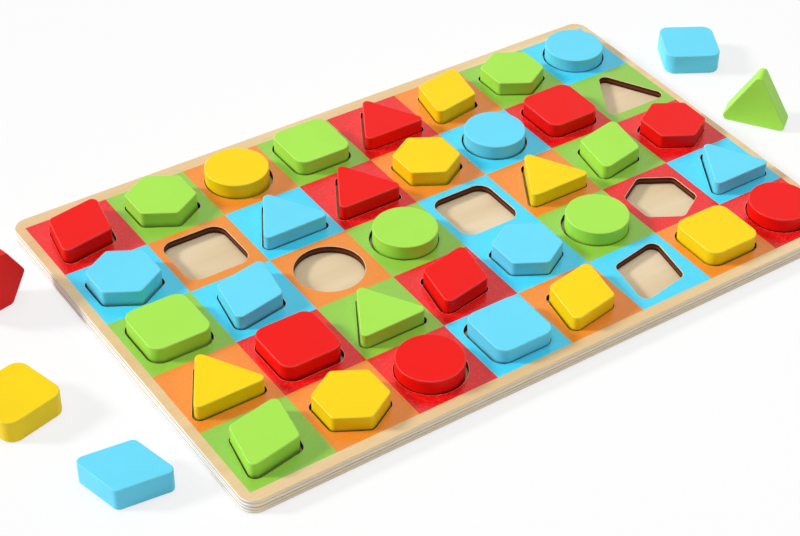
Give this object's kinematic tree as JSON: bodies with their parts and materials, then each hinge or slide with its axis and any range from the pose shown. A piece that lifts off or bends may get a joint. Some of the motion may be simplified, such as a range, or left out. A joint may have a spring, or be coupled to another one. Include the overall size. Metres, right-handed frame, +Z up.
{
  "type": "wooden shape-matching puzzle",
  "caption": "Flat plywood puzzle board with a grid of coloured squares, a shaped socket in each, and painted wooden blocks that lift out of their matching sockets.",
  "frame": {"origin": "middle of the board's underside, on the surface that it rests on", "axes": "+X along the board's long side to the right, +Y towards its back edge, +Z up out of the sockets"},
  "size_m": [0.4065, 0.194, 0.0264],
  "materials": {
    "backing_ply": "bare birch plywood",
    "printed_ply": "birch plywood, printed coloured squares under clear lacquer, scorched cut edges",
    "red_paint": "solid wood, satin paint",
    "yellow_paint": "solid wood, satin paint",
    "green_paint": "solid wood, satin paint",
    "blue_paint": "solid wood, satin paint"
  },
  "bodies": {
    "board": {"backing_board": "backing_ply", "socket_panel": "printed_ply"},
    "red_diamond_1": {"red_diamond_1": "red_paint"},
    "green_hexagon_1": {"green_hexagon_1": "green_paint"},
    "yellow_circle_1": {"yellow_circle_1": "yellow_paint"},
    "green_square_1": {"green_square_1": "green_paint"},
    "red_triangle_1": {"red_triangle_1": "red_paint"},
    "yellow_diamond_1": {"yellow_diamond_1": "yellow_paint"},
    "green_hexagon_2": {"green_hexagon_2": "green_paint"},
    "blue_circle_1": {"blue_circle_1": "blue_paint"},
    "blue_hexagon_1": {"blue_hexagon_1": "blue_paint"},
    "yellow_square_1": {"yellow_square_1": "yellow_paint"},
    "blue_triangle_1": {"blue_triangle_1": "blue_paint"},
    "red_triangle_2": {"red_triangle_2": "red_paint"},
    "yellow_hexagon_1": {"yellow_hexagon_1": "yellow_paint"},
    "blue_circle_2": {"blue_circle_2": "blue_paint"},
    "red_square_1": {"red_square_1": "red_paint"},
    "green_triangle_1": {"green_triangle_1": "green_paint"},
    "green_square_2": {"green_square_2": "green_paint"},
    "blue_diamond_1": {"blue_diamond_1": "blue_paint"},
    "yellow_circle_2": {"yellow_circle_2": "yellow_paint"},
    "green_circle_1": {"green_circle_1": "green_paint"},
    "blue_square_1": {"blue_square_1": "blue_paint"},
    "yellow_triangle_1": {"yellow_triangle_1": "yellow_paint"},
    "green_diamond_1": {"green_diamond_1": "green_paint"},
    "red_hexagon_1": {"red_hexagon_1": "red_paint"},
    "yellow_triangle_2": {"yellow_triangle_2": "yellow_paint"},
    "red_square_2": {"red_square_2": "red_paint"},
    "green_triangle_2": {"green_triangle_2": "green_paint"},
    "red_diamond_2": {"red_diamond_2": "red_paint"},
    "blue_hexagon_2": {"blue_hexagon_2": "blue_paint"},
    "green_circle_2": {"green_circle_2": "green_paint"},
    "red_hexagon_2": {"red_hexagon_2": "red_paint"},
    "blue_triangle_2": {"blue_triangle_2": "blue_paint"},
    "green_diamond_2": {"green_diamond_2": "green_paint"},
    "yellow_hexagon_2": {"yellow_hexagon_2": "yellow_paint"},
    "red_circle_1": {"red_circle_1": "red_paint"},
    "blue_square_2": {"blue_square_2": "blue_paint"},
    "yellow_diamond_2": {"yellow_diamond_2": "yellow_paint"},
    "blue_diamond_2": {"blue_diamond_2": "blue_paint"},
    "yellow_square_2": {"yellow_square_2": "yellow_paint"},
    "red_circle_2": {"red_circle_2": "red_paint"}
  },
  "joints": [
    {"name": "red_diamond_1_lift", "type": "slide", "parent": "board", "child": "red_diamond_1", "axis": [0, 0, 1], "range_m": [0, 0.03]},
    {"name": "green_hexagon_1_lift", "type": "slide", "parent": "board", "child": "green_hexagon_1", "axis": [0, 0, 1], "range_m": [0, 0.03]},
    {"name": "yellow_circle_1_lift", "type": "slide", "parent": "board", "child": "yellow_circle_1", "axis": [0, 0, 1], "range_m": [0, 0.03]},
    {"name": "green_square_1_lift", "type": "slide", "parent": "board", "child": "green_square_1", "axis": [0, 0, 1], "range_m": [0, 0.03]},
    {"name": "red_triangle_1_lift", "type": "slide", "parent": "board", "child": "red_triangle_1", "axis": [0, 0, 1], "range_m": [0, 0.03]},
    {"name": "yellow_diamond_1_lift", "type": "slide", "parent": "board", "child": "yellow_diamond_1", "axis": [0, 0, 1], "range_m": [0, 0.03]},
    {"name": "green_hexagon_2_lift", "type": "slide", "parent": "board", "child": "green_hexagon_2", "axis": [0, 0, 1], "range_m": [0, 0.03]},
    {"name": "blue_circle_1_lift", "type": "slide", "parent": "board", "child": "blue_circle_1", "axis": [0, 0, 1], "range_m": [0, 0.03]},
    {"name": "blue_hexagon_1_lift", "type": "slide", "parent": "board", "child": "blue_hexagon_1", "axis": [0, 0, 1], "range_m": [0, 0.03]},
    {"name": "yellow_square_1_lift", "type": "slide", "parent": "board", "child": "yellow_square_1", "axis": [0, 0, 1], "range_m": [0, 0.03]},
    {"name": "blue_triangle_1_lift", "type": "slide", "parent": "board", "child": "blue_triangle_1", "axis": [0, 0, 1], "range_m": [0, 0.03]},
    {"name": "red_triangle_2_lift", "type": "slide", "parent": "board", "child": "red_triangle_2", "axis": [0, 0, 1], "range_m": [0, 0.03]},
    {"name": "yellow_hexagon_1_lift", "type": "slide", "parent": "board", "child": "yellow_hexagon_1", "axis": [0, 0, 1], "range_m": [0, 0.03]},
    {"name": "blue_circle_2_lift", "type": "slide", "parent": "board", "child": "blue_circle_2", "axis": [0, 0, 1], "range_m": [0, 0.03]},
    {"name": "red_square_1_lift", "type": "slide", "parent": "board", "child": "red_square_1", "axis": [0, 0, 1], "range_m": [0, 0.03]},
    {"name": "green_triangle_1_lift", "type": "slide", "parent": "board", "child": "green_triangle_1", "axis": [0, 0, 1], "range_m": [0, 0.03]},
    {"name": "green_square_2_lift", "type": "slide", "parent": "board", "child": "green_square_2", "axis": [0, 0, 1], "range_m": [0, 0.03]},
    {"name": "blue_diamond_1_lift", "type": "slide", "parent": "board", "child": "blue_diamond_1", "axis": [0, 0, 1], "range_m": [0, 0.03]},
    {"name": "yellow_circle_2_lift", "type": "slide", "parent": "board", "child": "yellow_circle_2", "axis": [0, 0, 1], "range_m": [0, 0.03]},
    {"name": "green_circle_1_lift", "type": "slide", "parent": "board", "child": "green_circle_1", "axis": [0, 0, 1], "range_m": [0, 0.03]},
    {"name": "blue_square_1_lift", "type": "slide", "parent": "board", "child": "blue_square_1", "axis": [0, 0, 1], "range_m": [0, 0.03]},
    {"name": "yellow_triangle_1_lift", "type": "slide", "parent": "board", "child": "yellow_triangle_1", "axis": [0, 0, 1], "range_m": [0, 0.03]},
    {"name": "green_diamond_1_lift", "type": "slide", "parent": "board", "child": "green_diamond_1", "axis": [0, 0, 1], "range_m": [0, 0.03]},
    {"name": "red_hexagon_1_lift", "type": "slide", "parent": "board", "child": "red_hexagon_1", "axis": [0, 0, 1], "range_m": [0, 0.03]},
    {"name": "yellow_triangle_2_lift", "type": "slide", "parent": "board", "child": "yellow_triangle_2", "axis": [0, 0, 1], "range_m": [0, 0.03]},
    {"name": "red_square_2_lift", "type": "slide", "parent": "board", "child": "red_square_2", "axis": [0, 0, 1], "range_m": [0, 0.03]},
    {"name": "green_triangle_2_lift", "type": "slide", "parent": "board", "child": "green_triangle_2", "axis": [0, 0, 1], "range_m": [0, 0.03]},
    {"name": "red_diamond_2_lift", "type": "slide", "parent": "board", "child": "red_diamond_2", "axis": [0, 0, 1], "range_m": [0, 0.03]},
    {"name": "blue_hexagon_2_lift", "type": "slide", "parent": "board", "child": "blue_hexagon_2", "axis": [0, 0, 1], "range_m": [0, 0.03]},
    {"name": "green_circle_2_lift", "type": "slide", "parent": "board", "child": "green_circle_2", "axis": [0, 0, 1], "range_m": [0, 0.03]},
    {"name": "red_hexagon_2_lift", "type": "slide", "parent": "board", "child": "red_hexagon_2", "axis": [0, 0, 1], "range_m": [0, 0.03]},
    {"name": "blue_triangle_2_lift", "type": "slide", "parent": "board", "child": "blue_triangle_2", "axis": [0, 0, 1], "range_m": [0, 0.03]},
    {"name": "green_diamond_2_lift", "type": "slide", "parent": "board", "child": "green_diamond_2", "axis": [0, 0, 1], "range_m": [0, 0.03]},
    {"name": "yellow_hexagon_2_lift", "type": "slide", "parent": "board", "child": "yellow_hexagon_2", "axis": [0, 0, 1], "range_m": [0, 0.03]},
    {"name": "red_circle_1_lift", "type": "slide", "parent": "board", "child": "red_circle_1", "axis": [0, 0, 1], "range_m": [0, 0.03]},
    {"name": "blue_square_2_lift", "type": "slide", "parent": "board", "child": "blue_square_2", "axis": [0, 0, 1], "range_m": [0, 0.03]},
    {"name": "yellow_diamond_2_lift", "type": "slide", "parent": "board", "child": "yellow_diamond_2", "axis": [0, 0, 1], "range_m": [0, 0.03]},
    {"name": "blue_diamond_2_lift", "type": "slide", "parent": "board", "child": "blue_diamond_2", "axis": [0, 0, 1], "range_m": [0, 0.03]},
    {"name": "yellow_square_2_lift", "type": "slide", "parent": "board", "child": "yellow_square_2", "axis": [0, 0, 1], "range_m": [0, 0.03]},
    {"name": "red_circle_2_lift", "type": "slide", "parent": "board", "child": "red_circle_2", "axis": [0, 0, 1], "range_m": [0, 0.03]}
  ]
}
